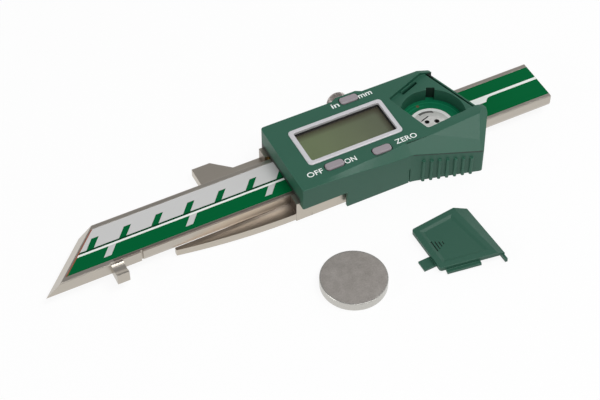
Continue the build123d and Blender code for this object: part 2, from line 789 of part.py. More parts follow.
def make_key(name):
    """One key: cap, flange that stops it under the top, and the stem over its dome."""
    flange_top = inner_top_z - key_gap
    flange_low = flange_top - key_flange_height
    cap = key_cap(name, 0, flange_top, housing_top_z + key_proud)
    cap = chamfer(cap.edges().group_by(Axis.Z)[-1], key_edge)
    stem_x, stem_y = keys[name][1]
    stem_low = board_top_z + dome_base_height + dome_height + key_travel + key_rest_gap
    return cap + key_flange(name, 0, flange_low, flange_top) + rod(
        stem_x, stem_y, stem_low, flange_low, key_stem_radius)


def make_housing_screws():
    """Four screws that go up through the back into the housing's bosses."""
    tip_z = rail_top_z + boss_screw_bite
    low = frame_head_sink
    screws = []
    for x, y in boss_positions:
        screw = rod(x, y, low, frame_head_depth, frame_head_radius) + rod(x, y, low, tip_z, boss_screw_radius)
        for turn in (0, 90):
            cross = Rot(0, 0, turn) * Rectangle(frame_head_radius * 1.2, driver_slot_width)
            screw = screw - slab(Pos(x, y) * cross, low - past, low + driver_slot_depth)
        screws.append(screw)
    return screws


def make_coin_cell():
    """Sealed coin cell: wide can with its flat face up, and the narrower cap below."""
    cap_radius = cell_radius - 1.3
    cap_step = 0.12
    can_low = 0.33
    edge = 0.12
    profile = Polyline((0, 0), (cap_radius, 0), (cap_radius + cap_step, cap_step),
                       (cell_radius - can_low, cap_step), (cell_radius, cap_step + can_low),
                       (cell_radius, cell_height - edge), (cell_radius - edge, cell_height),
                       (0, cell_height), close=True)
    return Pos(*loose_cell_centre) * revolve(Plane.XZ * make_face(profile), Axis.Z)


def pad_face(inset, z):
    """The cover's sunk pad at one height: four sides, the right one parallel to the end crease."""
    crease_far = Vector(end_crease_far_x, housing_far_y, 0)
    crease = Vector(*end_crease_near, 0) - crease_far
    near_end = crease_far + crease
    corners = Polyline(bay_corner, bay_front_corner, (near_end.X, bay_front_y(near_end.X)), bay_far_point,
                       close=True)
    return Pos(0, 0, z) * offset(make_face(corners), -inset, kind=Kind.INTERSECTION)


def arrow_cut():
    """Four engraved bars that shorten towards the opening side."""
    centre = Vector(*bay_corner, 0) + Vector(*arrow_offset, 0)
    cuts = Part()
    for index, length in enumerate(arrow_bar_lengths):
        bar = Pos(index * arrow_bar_pitch, 0) * Rectangle(arrow_bar_width, length)
        bar = Pos(centre.X, centre.Y) * Rot(0, 0, -loose_cover_turn) * bar
        cuts = cuts + slab(bar, housing_top_z - pad_depth - arrow_depth, housing_top_z + past)
    return cuts


def make_cover_in_place():
    """The battery cover where it belongs: plate, end lip with its hook, tab, tongue and clip rib."""
    plate = slab(bay_plan(cover_gap) & housing_plan(0), seat_z, housing_top_z)
    lip_strip = end_strip(0, lip_room - cover_gap) & housing_plan(0)
    lip_low_z = lip_ledge_z + cover_gap
    cover = plate + slab(lip_strip & bay_plan(cover_gap), lip_low_z, seat_z)
    cover = cover - end_bevel_cut(0)
    cover = cover + slab(lip_strip & (Pos(0, -hook_reach) * bay_plan(cover_gap)), lip_low_z,
                         seat_z - cover_gap)
    tab = bay_bar(bay_corner, bay_front_corner,
                  math.dist(bay_corner, bay_front_corner) - tab_offset, (tab_reach - tab_root) / 2,
                  tab_width, tab_reach + tab_root)
    tab_top = seat_z + tab_rise
    cover = cover + slab(tab, tab_top - tab_thickness, tab_top)
    front_end = (nose_x, bay_front_y(nose_x))
    tongue = bay_bar(bay_front_corner, front_end, tongue_start + tongue_length / 2, 0,
                     tongue_length, 2 * tongue_reach)
    cover = cover + slab(tongue, seat_z - tongue_thickness, seat_z + tab_rise)
    cover = cover + clip_bar(clip_slot_inset, clip_slot_width - 2 * cover_gap,
                             clip_slot_length - 2 * cover_gap, seat_z - clip_rib_depth, seat_z + tab_rise)
    cover = cover - clip_bar(keeper_inset, keeper_width + 2 * cover_gap,
                             clip_slot_length + 2 * cover_gap, seat_z - past, seat_z + keeper_height + cover_gap)
    pad = loft([pad_face(pad_inset, housing_top_z), pad_face(pad_inset + pad_slope, housing_top_z - pad_depth)])
    return cover - pad - arrow_cut()


def make_battery_cover():
    """The cover as it lies beside the gauge: turned, and tilted onto its end lip and its tab."""
    cover = make_cover_in_place()
    lip_depth = housing_top_z - lip_ledge_z - cover_gap
    tab_depth = housing_top_z - seat_z - tab_rise + tab_thickness
    span = nose_x - bay_front_corner[0]
    tilt = math.degrees(math.atan((lip_depth - tab_depth) / span))
    cover = Pos(*loose_cover_corner) * Rot(0, 0, loose_cover_turn) * Rot(0, -tilt, 0) * Pos(
        -bay_corner[0], -bay_corner[1], -housing_top_z) * cover
    return Pos(0, 0, -cover.bounding_box().min.Z) * cover


nodes = {
    "beam_bar": make_beam_bar(),
    "scale_board": make_scale_board(),
    "scale_label": make_scale_label(),
    "end_stop": make_end_stop(),
    "end_stop_screws": make_end_stop_screws(0),
    "slider_frame": make_slider_frame(),
    "gib_strip": make_gib_strip(),
    "gib_screws": make_gib_screws(),
    "lock_screw": make_lock_screw(),
    "housing": make_housing(),
    "housing_screws": make_housing_screws(),
    "display_bezel": make_display_bezel(),
    "display_window": make_display_window(),
    "lcd_panel": make_lcd_panel(),
    "zebra_strips": make_zebra_strips(),
    "circuit_board": make_circuit_board(),
    "controller_chip": make_controller_chip(),
    "switch_domes": make_switch_domes(),
    "negative_contact": make_negative_contact(),
    "positive_contact": make_positive_contact(),
    "in_mm_button": make_key("in_mm_button"),
    "power_button": make_key("power_button"),
    "zero_button": make_key("zero_button"),
    "coin_cell": make_coin_cell(),
    "battery_cover": make_battery_cover(),
}

os.makedirs("parts", exist_ok=True)
for name, shape in nodes.items():
    solids = shape if isinstance(shape, list) else [shape]
    whole = Compound(children=[solid for item in solids for solid in item.solids()])
    export_step(whole, f"parts/{name}.step")
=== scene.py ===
"""Looks of a digital chamfer gauge: ground steel beam and jaws, printed scale, moulded green head.

The frame gives every piece its place, in metres: +X runs along the beam, +Y to the lock screw, +Z up.
"""
import bmesh
import bpy
import math
from mathutils import Matrix, Vector


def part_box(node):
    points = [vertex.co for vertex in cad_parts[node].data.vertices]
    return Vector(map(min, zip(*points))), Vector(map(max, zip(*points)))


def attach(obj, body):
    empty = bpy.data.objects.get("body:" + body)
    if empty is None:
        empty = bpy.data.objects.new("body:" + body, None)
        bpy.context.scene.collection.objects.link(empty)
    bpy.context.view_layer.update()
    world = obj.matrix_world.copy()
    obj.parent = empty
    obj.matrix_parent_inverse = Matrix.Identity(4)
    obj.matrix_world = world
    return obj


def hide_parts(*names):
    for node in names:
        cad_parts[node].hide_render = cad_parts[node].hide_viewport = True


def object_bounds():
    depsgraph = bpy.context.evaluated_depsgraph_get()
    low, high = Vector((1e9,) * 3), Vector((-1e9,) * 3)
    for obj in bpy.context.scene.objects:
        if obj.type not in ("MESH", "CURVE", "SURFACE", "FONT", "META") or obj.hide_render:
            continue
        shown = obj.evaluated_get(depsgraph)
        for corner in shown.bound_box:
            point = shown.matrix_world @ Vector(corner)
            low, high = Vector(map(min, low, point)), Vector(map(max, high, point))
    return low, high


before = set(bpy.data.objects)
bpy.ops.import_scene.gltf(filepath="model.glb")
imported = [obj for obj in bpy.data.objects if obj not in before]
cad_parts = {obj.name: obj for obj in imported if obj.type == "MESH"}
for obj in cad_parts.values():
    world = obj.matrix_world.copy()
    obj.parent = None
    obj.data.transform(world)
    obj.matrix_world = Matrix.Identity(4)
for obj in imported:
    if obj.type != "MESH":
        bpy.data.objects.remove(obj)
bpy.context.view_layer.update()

# Steel beam, its knife end and the stop plate under its square end.
# The real beam is stainless bar, ground on every face, which leaves a fine grain along its length.
# The stop plate is cut from the same bar.
mm = 0.001


class Wire:
    """One output of a node tree. Arithmetic on it adds Math nodes, and add makes any other node."""

    def __init__(self, tree, socket=None):
        self.tree = tree
        self.socket = socket

    def add(self, kind, inputs=None, out=0, stops=None, **settings):
        """A new node: its settings and a ramp's stops first, then a value or a link for each socket."""
        node = self.tree.nodes.new(kind)
        for name, value in settings.items():
            setattr(node, name, value)
        if stops:
            elements = node.color_ramp.elements
            while len(elements) < len(stops):
                elements.new(1.0)
            for element, (place, colour) in zip(elements, stops):
                element.position = place
                element.color = colour
        for name, value in (inputs or {}).items():
            if isinstance(value, Wire):
                self.tree.links.new(value.socket, node.inputs[name])
            else:
                node.inputs[name].default_value = value
        return Wire(self.tree, node.outputs[out])

    def end(self, kind, socket, result):
        """Closes the tree: a result into a socket of its output node."""
        self.tree.links.new(result.socket, self.tree.nodes.new(kind).inputs[socket])

    def math(self, operation, *others):
        """A Math node with this output as its first value."""
        return self.add("ShaderNodeMath", dict(enumerate((self,) + others)), operation=operation)

    def after(self, operation, other):
        """A Math node with this output as its second value."""
        return self.add("ShaderNodeMath", {0: other, 1: self}, operation=operation)

    def mix(self, low, high):
        """Two colours blended by this mask: low where it is 0, high where it is 1."""
        return self.add("ShaderNodeMix", {0: self, 6: low, 7: high}, out=2, data_type="RGBA")

    def __add__(self, other):
        return self.math("ADD", other)

    def __radd__(self, other):
        return self.after("ADD", other)

    def __sub__(self, other):
        return self.math("SUBTRACT", other)

    def __rsub__(self, other):
        return self.after("SUBTRACT", other)

    def __mul__(self, other):
        return self.math("MULTIPLY", other)

    def __rmul__(self, other):
        return self.after("MULTIPLY", other)

    def __truediv__(self, other):
        return self.math("DIVIDE", other)

    def __rtruediv__(self, other):
        return self.after("DIVIDE", other)

    def __gt__(self, other):
        return self.math("GREATER_THAN", other)

    def __lt__(self, other):
        return self.math("LESS_THAN", other)


def rgb(red, green, blue):
    """A colour as linear light, from the 0 to 255 numbers of a screen."""
    return tuple((part / 255) ** 2.2 for part in (red, green, blue)) + (1.0,)


def shade(colour, share, lift=0.0):
    """A colour with its light scaled by a share and then lifted."""
    return tuple(part * share + lift for part in colour[:3]) + (1.0,)


def new_finish(name):
    """An empty material and the wire that adds nodes to it."""
    finish = bpy.data.materials.new(name)
    finish.use_nodes = True
    finish.node_tree.nodes.clear()
    return finish, Wire(finish.node_tree)


def place_in_mm(start):
    """X, Y and Z of the shaded point, in millimetres of the part's frame."""
    split = {"Vector": start.add("ShaderNodeTexCoord", out="Object")}
    return [start.add("ShaderNodeSeparateXYZ", split, out=axis) * 1000 for axis in "XYZ"]


def reach_from(x, y):
    """Distance from the origin of x and y."""
    return (x * x + y * y).math("SQRT")


def grain(start, scale, detail=3.0):
    """Noise on the part's own place, with one scale per metre or one for each axis."""
    scales = scale if isinstance(scale, tuple) else (scale, scale, scale)
    point = start.add("ShaderNodeTexCoord", out="Object")
    stretched = start.add("ShaderNodeMapping", {"Vector": point, "Scale": scales})
    return start.add("ShaderNodeTexNoise", {"Vector": stretched, "Scale": 1.0, "Detail": detail})


def rounded(start, radius_mm):
    """The surface's direction with its sharp edges softened by a small radius."""
    return start.add("ShaderNodeBevel", {"Radius": radius_mm * mm}, samples=6)


def bumped(start, height, depth_mm, base):
    """The surface's direction, raised by a height pattern that is this deep."""
    sockets = {"Strength": 1.0, "Distance": depth_mm * mm, "Height": height, "Normal": base}
    return start.add("ShaderNodeBump", sockets)


def close_finish(start, **sockets):
    """Ends a material in one plastic or metal shader with these sockets."""
    named = {name.replace("_", " "): value for name, value in sockets.items()}
    start.end("ShaderNodeOutputMaterial", "Surface", start.add("ShaderNodeBsdfPrincipled", named))


# Painted shade: where a mask says, steel is painted darker and browner, as the lamps leave it.
steel_shade_dark = rgb(108, 100, 92)
steel_shade_light = rgb(172, 161, 150)
steel_dark_share = 0.80
steel_scratch_depth = 0.004


def ground_steel(name, colour, rough, scale, edge=0.12, steel_shade_mask=None):
    """Ground or turned steel: streaks one way, softened edges, browner painted shade where a mask says."""
    finish, start = new_finish(name)
    streak = grain(start, scale)
    cloud = grain(start, 90, 2.0)
    tarnish = streak * 0.6 + cloud * 0.4
    tone = tarnish.mix(shade(colour, steel_dark_share), colour)
    if steel_shade_mask:
        tone = steel_shade_mask(start).mix(tone, tarnish.mix(steel_shade_dark, steel_shade_light))
    close_finish(start, Base_Color=tone, Metallic=1.0,
                 Roughness=rough + streak * 0.12 + cloud * 0.06 - 0.08,
                 Normal=bumped(start, streak, steel_scratch_depth, rounded(start, edge)))
    return finish


def dress(node, finish):
    """Gives a solid of the frame its material."""
    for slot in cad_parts[node].material_slots:
        slot.material = finish


beam_grey = rgb(193, 186, 175)
along_beam = (120, 9000, 9000)
beam_top_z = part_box("beam_bar")[1].z / mm
near_border_y = -6.9
near_border_left_x = -88.0
near_border_right_x = 0.0
near_border_depth = 0.9
lug_start_y = -8.6


def between(value, low, high):
    """Mask of where a value lies between two others."""
    return (value > low) * (value < high)


def faces_up(start):
    """Mask of the faces that look upwards."""
    out = start.add("ShaderNodeNewGeometry", out="Normal")
    return start.add("ShaderNodeSeparateXYZ", {"Vector": out}, out="Z") > 0.5


def near_border_shade(start):
    """Mask of painted shade: the narrow ground strip between label and beam's near edge, beside the scale.
    """
    x, y, z = place_in_mm(start)
    beside_scale = between(x, near_border_left_x, near_border_right_x)
    on_strip = between(y, lug_start_y, near_border_y) * (z > beam_top_z - near_border_depth)
    return on_strip * beside_scale * faces_up(start)


beam_steel = ground_steel("ground_beam_steel", beam_grey, 0.30, along_beam, 0.05, near_border_shade)
for node in ("beam_bar", "end_stop"):
    dress(node, beam_steel)

# Scale board and its printed film, let into the top of the beam.
# The board is a strip of glass laminate, and the film is plastic sheet with its colours screen-printed.
# A silver-white field lies over a green one, with slanted marks and a thin red edge at the knife face.
print_green = rgb(2, 95, 54)
print_deep = rgb(6, 62, 36)
print_white = rgb(201, 201, 200)
print_line = rgb(232, 236, 231)
print_red = rgb(150, 92, 76)
print_sheen = 0.04
laminate_dark = rgb(22, 52, 36)
laminate_light = rgb(46, 80, 58)
label_low, label_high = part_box("scale_label")
green_field_top = -1.75
white_line_top = -1.0
deep_line_top = -0.35
right_pattern_x = 26.0
right_line_low = 0.4
right_line_high = 1.4
flare_start_x = 40.4
flare_radius = 2.6
flare_low = -1.2
red_edge_along_x = 0.49

film, start = new_finish("printed_film")
x, y, z = place_in_mm(start)
knife_line = (label_low.x - label_low.y) / mm
red_edge = (x - y) < knife_line + red_edge_along_x
white_field = y > deep_line_top
deep_line = between(y, white_line_top, deep_line_top)
white_line = between(y, green_field_top, white_line_top)
left_fields = white_line.mix(white_field.mix(print_green, print_white), print_line)
left_print = deep_line.mix(left_fields, print_deep)
corner_x = x - (flare_start_x + flare_radius)
corner_y = y - (right_line_low - flare_radius)
corner = (corner_x < 0) * (corner_y > 0) * (reach_from(corner_x, corner_y) > flare_radius)
flare = corner * between(y, flare_low, right_line_high)
right_line = between(y, right_line_low, right_line_high)
right_print = right_line.math("MAXIMUM", flare).mix(print_green, print_line)
whole_print = (x > right_pattern_x).mix(left_print, right_print)
cloud = grain(start, 60, 2.0)
speck = grain(start, 2600, 1.0)
close_finish(start, Base_Color=red_edge.mix(whole_print, print_red), Roughness=0.34 + cloud * 0.12,
             Specular_IOR_Level=print_sheen, Normal=bumped(start, speck, 0.0015, rounded(start, 0.05)))
dress("scale_label", film)

laminate, start = new_finish("scale_laminate")
weave = grain(start, (1500, 1500, 9000), 2.0)
close_finish(start, Base_Color=weave.mix(laminate_dark, laminate_light), Roughness=0.5,
             Normal=bumped(start, weave, 0.01, rounded(start, 0.05)))
dress("scale_board", laminate)


def new_piece(name, mesh, finish, body):
    """Puts a mesh that is already in place on a body, with its material."""
    piece = bpy.data.objects.new(name, mesh)
    bpy.context.collection.objects.link(piece)
    mesh.materials.clear()
    mesh.materials.append(finish)
    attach(piece, body)
    return piece


def new_growth(name, sizes):
    """An empty Geometry Nodes tree with one named input for each size, and the wires of those inputs."""
    tree = bpy.data.node_groups.new(name, "GeometryNodeTree")
    tree.interface.new_socket("Geometry", in_out="OUTPUT", socket_type="NodeSocketGeometry")
    for size, value in sizes.items():
        kind = "NodeSocketInt" if isinstance(value, int) else "NodeSocketFloat"
        tree.interface.new_socket(size, in_out="INPUT", socket_type=kind)
    group = tree.nodes.new("NodeGroupInput")
    return tree, Wire(tree), {size: Wire(tree, group.outputs[size]) for size in sizes}


def grown(tree, sizes):
    """The plain mesh that a finished tree makes with these sizes."""
    carrier = bpy.data.objects.new("carrier", bpy.data.meshes.new("carrier"))
    bpy.context.collection.objects.link(carrier)
    modifier = carrier.modifiers.new("growth", "NODES")
    modifier.node_group = tree
    for item in tree.interface.items_tree:
        if item.in_out == "INPUT":
            modifier[item.identifier] = sizes[item.name]
    graph = bpy.context.evaluated_depsgraph_get()
    mesh = bpy.data.meshes.new_from_object(carrier.evaluated_get(graph), depsgraph=graph)
    carrier.modifiers.remove(modifier)
    bpy.data.objects.remove(carrier)
    return mesh


def end_growth(start, instances, finish):
    """Ends a tree: real copies of the instances, with their material."""
    real = start.add("GeometryNodeRealizeInstances", {"Geometry": instances})
    dressed = start.add("GeometryNodeSetMaterial", {"Geometry": real, "Material": finish})
    start.end("NodeGroupOutput", "Geometry", dressed)


def slanted_marks(name, sizes, finish):
    """A row of flat slanted marks along X: a thin bar for each step, sheared to its slant."""
    tree, start, given = new_growth(name, sizes)
    first = start.add("ShaderNodeCombineXYZ", {
        "X": given["First X"], "Y": given["Middle Y"], "Z": given["Height"]})
    step = start.add("ShaderNodeCombineXYZ", {"X": given["Pitch"]})
    line = start.add("GeometryNodeMeshLine", {
        "Count": given["Count"], "Start Location": first, "Offset": step}, mode="OFFSET")
    size = start.add("ShaderNodeCombineXYZ", {
        "X": given["Width"], "Y": given["Length"], "Z": given["Film"]})
    bar = start.add("GeometryNodeMeshCube", {"Size": size})
    spot = start.add("GeometryNodeInputPosition")
    spot_y = start.add("ShaderNodeSeparateXYZ", {"Vector": spot}, out="Y")
    push = start.add("ShaderNodeCombineXYZ", {"X": spot_y * given["Slant"]})
    sheared = start.add("GeometryNodeSetPosition", {"Geometry": bar, "Offset": push})
    marks = start.add("GeometryNodeInstanceOnPoints", {"Points": line, "Instance": sheared})
    end_growth(start, marks, finish)
    return grown(tree, sizes)


def print_ink(name, colour):
    """Screen-printed ink: flat colour with a faint mottle."""
    finish, start = new_finish(name)
    mottle = grain(start, 900, 2.0)
    close_finish(start, Base_Color=mottle.mix(shade(colour, 0.93), colour),
                 Roughness=0.36 + mottle * 0.08, Specular_IOR_Level=print_sheen)
    return finish


film_top = label_high.z + 0.012 * mm
ink_thickness = 0.02 * mm
mark_slant = 0.85
green_ink = print_ink("green_ink", print_green)
white_ink = print_ink("white_ink", print_white)
green_marks = slanted_marks("millimetre_marks", {
    "Count": 11, "Pitch": 10.2 * mm, "First X": -90.9 * mm, "Middle Y": 1.35 * mm, "Height": film_top,
    "Width": 2.3 * mm, "Length": 3.5 * mm, "Film": ink_thickness, "Slant": mark_slant}, green_ink)
new_piece("millimetre_marks", green_marks, green_ink, "beam")
white_marks = slanted_marks("long_marks", {
    "Count": 4, "Pitch": 25.8 * mm, "First X": -87.4 * mm, "Middle Y": -3.45 * mm, "Height": film_top,
    "Width": 2.35 * mm, "Length": 3.4 * mm, "Film": ink_thickness, "Slant": mark_slant}, white_ink)
new_piece("long_marks", white_marks, white_ink, "beam")

# Slider frame: the steel back with both jaws and the rails, and the brass gib between rail and beam.
# It is cut from plate and ground, the jaws to thin edges; the long jaw's hollow top is painted darker as
# shade.
# Small dark screws set the gib and hold the stop plate and the head.
frame_grey = rgb(198, 190, 177)
brass = rgb(200, 165, 95)
screw_grey = rgb(128, 124, 120)
frame_left_x = -31.5
frame_end_depth = 0.05
back_top_z = 3.4
jaw_hollow_depth = 0.5


def jaw_shade(start):
    """Mask of painted shade: the long jaw's hollow-ground top and the frame's left end beside the beam."""
    x, y, z = place_in_mm(start)
    jaw_top = (x < frame_left_x - frame_end_depth) * (z > back_top_z - jaw_hollow_depth) * (y < 0)
    end_face = between(x, frame_left_x - frame_end_depth, frame_left_x + frame_end_depth)
    return (jaw_top * faces_up(start)).math("MAXIMUM", end_face)


slider_steel = ground_steel("ground_slider_steel", frame_grey, 0.32, (150, 7000, 7000), 0.08, jaw_shade)
dress("slider_frame", slider_steel)
dress("gib_strip", ground_steel("brass_strip", brass, 0.35, (200, 6000, 6000)))
screw_steel = ground_steel("dark_screw_steel", screw_grey, 0.38, 3000, 0.08)
for node in ("gib_screws", "end_stop_screws", "housing_screws"):
    dress(node, screw_steel)

# Lock screw: a turned steel thumb screw whose rim is diamond knurled.
# The core is turned with a plain band and collar at its inner end and a hollow in its outer end.
# The knurl is rolled into the rim, and its points stand in rows, each turned half a step.
knob_grey = rgb(176, 168, 164)
knob_low, knob_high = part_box("lock_screw")
knob_x = (knob_low.x + knob_high.x) / 2
knob_z = (knob_low.z + knob_high.z) / 2
knob_radius = (knob_high.z - knob_low.z) / 2
knob_end_y = knob_high.y
knob_start_y = knob_end_y - 5.8 * mm
shank_start_y = knob_low.y
shank_radius = 1.2 * mm
shank_tip = 0.2 * mm
shank_thread_y = 12.9 * mm
collar_start_y = 13.5 * mm
collar_radius = 1.7 * mm
knurl_height = 0.22 * mm
core_radius = knob_radius - knurl_height
band_foot_radius = core_radius - 0.2 * mm
band_radius = core_radius + 0.05 * mm
band_start_y = knob_start_y + 0.15 * mm
band_end_y = knob_start_y + 0.9 * mm
bevel_start_y = knob_end_y - 0.35 * mm
bevel_depth = 0.35 * mm
small_step = 0.1 * mm
hollow_radius = 1.4 * mm
hollow_depth = 0.3 * mm
hollow_middle = 0.01 * mm
knob_steps = 72
same_point = 0.0005 * mm


def fix_normals(mesh, smooth_below=35):
    """Turns all faces outwards and shades bends below an angle in degrees smooth."""
    work = bmesh.new()
    work.from_mesh(mesh)
    bmesh.ops.remove_doubles(work, verts=work.verts, dist=same_point)
    bmesh.ops.recalc_face_normals(work, faces=work.faces)
    for face in work.faces:
        face.smooth = True
    for edge in work.edges:
        edge.smooth = edge.calc_face_angle(0) < math.radians(smooth_below)
    work.to_mesh(mesh)
    work.free()


def turned(name, profile, steps, across):
    """A closed turned form from (along, radius) pairs; across gives the point of (along, u, v)."""
    points = [across(profile[0][0], 0, 0), across(profile[-1][0], 0, 0)]
    faces = []
    for along, radius in profile:
        for step in range(steps):
            angle = 2 * math.pi * step / steps
            points.append(across(along, radius * math.cos(angle), radius * math.sin(angle)))
    last_ring = 2 + (len(profile) - 1) * steps
    for step in range(steps):
        after = (step + 1) % steps
        faces.append((0, 2 + after, 2 + step))
        faces.append((1, last_ring + step, last_ring + after))
        for low in range(2, last_ring, steps):
            high = low + steps
            faces.append((low + step, low + after, high + after, high + step))
    mesh = bpy.data.meshes.new(name)
    mesh.from_pydata(points, [], faces)
    mesh.validate()
    fix_normals(mesh)
    return mesh


knob_core = turned("lock_knob_core", [
    (shank_start_y, shank_radius - shank_tip), (shank_start_y + shank_tip, shank_radius),
    (shank_thread_y, shank_radius), (collar_start_y, shank_radius), (collar_start_y, collar_radius),
    (knob_start_y, collar_radius), (knob_start_y, band_foot_radius), (band_start_y, band_radius),
    (band_end_y, band_radius), (band_end_y + small_step, core_radius),
    (bevel_start_y - small_step, core_radius), (bevel_start_y, core_radius - small_step / 2),
    (knob_end_y, core_radius - bevel_depth), (knob_end_y, hollow_radius),
    (knob_end_y - hollow_depth, hollow_radius - hollow_depth), (knob_end_y - hollow_depth, hollow_middle)],
    knob_steps, lambda along, u, v: (knob_x + u, along, knob_z + v))
knob_finish = ground_steel("turned_knob_steel", knob_grey, 0.34, (2500, 9000, 2500), 0.06)
knob_core_piece = new_piece("lock_knob_core", knob_core, knob_finish, "lock")
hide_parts("lock_screw")


def knurl_points(sizes, finish):
    """Diamond knurl: rows of four-sided points round a cylinder along Y, each row turned half a step."""
    tree, start, given = new_growth("diamond_knurl", sizes)
    index = start.add("GeometryNodeInputIndex")
    row = (index / given["Around"]).math("FLOOR")
    half = (row * 0.5).math("FRACT")
    angle = (index + half) * (2 * math.pi) / given["Around"]
    sine = angle.math("SINE")
    cosine = angle.math("COSINE")
    outward = start.add("ShaderNodeCombineXYZ", {"X": cosine, "Z": sine})
    spot = start.add("ShaderNodeCombineXYZ", {
        "X": cosine * given["Radius"] + given["Centre X"], "Y": row * given["Row pitch"] + given["First Y"],
        "Z": sine * given["Radius"] + given["Centre Z"]})
    spots = start.add("GeometryNodePoints", {"Count": given["Around"] * given["Rows"], "Position": spot})
    point = start.add("GeometryNodeMeshCone", {
        "Vertices": 4, "Radius Top": given["Tip"], "Radius Bottom": given["Foot"], "Depth": given["Depth"]})
    facing = start.add("FunctionNodeAlignRotationToVector", {"Vector": outward}, axis="Z")
    held = {"Points": spots, "Instance": point, "Rotation": facing}
    end_growth(start, start.add("GeometryNodeInstanceOnPoints", held), finish)
    return grown(tree, sizes)


knurl_around = 36
knurl_rows = 15
knurl_sink = 0.04 * mm
knurl_step = 2 * math.pi * core_radius / knurl_around
knurl = knurl_points({
    "Around": knurl_around, "Rows": knurl_rows, "Radius": core_radius - knurl_sink, "Centre X": knob_x,
    "Centre Z": knob_z, "First Y": knob_start_y + 1.25 * mm, "Row pitch": knurl_step / 2, "Tip": 0.06 * mm,
    "Foot": knurl_step * 0.52, "Depth": knurl_height + knurl_sink}, knob_finish)
new_piece("lock_knurl", knurl, knob_finish, "lock")

# Circuit board: glass laminate with copper tracks under a green solder mask, seen in the battery bay.
# Two curved tracks and one bare pad lie beside the sprung contact.
# The board under the contact is painted black, as the contact's shadow.
mask_green = rgb(6, 98, 66)
track_green = rgb(30, 122, 84)
pad_brown = rgb(104, 82, 60)
contact_shadow_black = rgb(10, 12, 9)
contact_shadow_radius = 6.6
inner_track = (8.3, 8.75)
inner_track_right = 2.0
outer_track = (9.5, 9.8)
outer_track_left = -5.0
pad_x = 19.8
pad_y = 5.9
pad_radius = 0.5
contact_low, contact_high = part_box("negative_contact")
contact_x = (contact_low.x + contact_high.x) / 2 / mm
contact_y = (contact_low.y + contact_high.y) / 2 / mm

mask, start = new_finish("solder_mask")
x, y, z = place_in_mm(start)
reach = reach_from(x - contact_x, y - contact_y)
track = between(reach, *inner_track) * (x < contact_x + inner_track_right)
copper = track.math("MAXIMUM", between(reach, *outer_track) * (x > contact_x + outer_track_left))
pad = reach_from(x - pad_x, y - pad_y) < pad_radius
cloud = grain(start, 700, 2.0)
mask_tone = pad.mix((copper * 0.7 + cloud * 0.3).mix(mask_green, track_green), pad_brown)
close_finish(start, Base_Color=(reach < contact_shadow_radius).mix(mask_tone, contact_shadow_black),
             Roughness=0.42, Specular_IOR_Level=0.2,
             Normal=bumped(start, copper * 0.8 + cloud * 0.1, 0.03, rounded(start, 0.05)))
dress("circuit_board", mask)

resin, start = new_finish("chip_resin")
speck = grain(start, 3000, 2.0)
close_finish(start, Base_Color=speck.mix(rgb(24, 24, 25), rgb(38, 38, 39)), Roughness=0.5,
             Normal=bumped(start, speck, 0.01, rounded(start, 0.08)))
dress("controller_chip", resin)

# Contacts of the battery bay and the key switches: nickel-plated spring sheet, stamped and bent.
# The dished round contact has two punched holes, and a bent leaf stands in the notch of the well.
nickel = ground_steel("plated_spring_sheet", rgb(226, 223, 216), 0.20, (900, 2200, 900), 0.08)
for node in ("positive_contact", "switch_domes"):
    dress(node, nickel)
sheet_dark = rgb(206, 205, 200)
sheet_light = rgb(240, 240, 236)
rim_highlight = rgb(248, 250, 246)
hole_shade_black = rgb(16, 13, 11)
contact_rim = 5.9
contact_band = 4.9
band_from_x = -1.5
band_to_x = 3.0
band_from_y = 1.5
contact_holes = [(132.0, 1.5, 0.75), (3.0, 1.9, 0.8)]

# On the dish the bright outer rim is a painted highlight, a darker band by its far rim a painted
# reflection,
# and its two holes are painted black as the shade seen through them.
dish, start = new_finish("dished_contact_sheet")
x, y, z = place_in_mm(start)
out_x = x - contact_x
out_y = y - contact_y
reach = reach_from(out_x, out_y)
dark = between(reach, contact_band, contact_rim) * between(out_x, band_from_x, band_to_x) * 0.75
dark = dark * (out_y > band_from_y)
for turn, distance, radius in contact_holes:
    hole_x = out_x - distance * math.cos(math.radians(turn))
    hole_y = out_y - distance * math.sin(math.radians(turn))
    dark = dark.math("MAXIMUM", reach_from(hole_x, hole_y) < radius)
brushed = grain(start, (900, 2600, 900), 2.0)
sheet_tone = (reach > contact_rim).mix(brushed.mix(sheet_dark, sheet_light), rim_highlight)
close_finish(start, Base_Color=dark.mix(sheet_tone, hole_shade_black), Metallic=0.45,
             Roughness=0.34 + brushed * 0.08, Normal=bumped(start, brushed, 0.004, rounded(start, 0.06)))
dress("negative_contact", dish)

# Its edges are painted paler as a highlight, and its narrow gaps, notch and grip lip painted dark as shade.
# Housing: the moulded dark green head, with facets, grip ribs, key pockets and the open battery bay.
# It is fine-grained plastic from a spark-eroded mould, a little shinier where fingers rub its edges.
# Screws from below draw it down on the slider's steel back.
head_green = rgb(34, 88, 69)
hollow_shade_black = rgb(9, 14, 12)
hollow_shade_strength = 0.85
moulded_sheen = 0.56
edge_rub_and_light_gain = 9.0
edge_highlight_share = 0.45


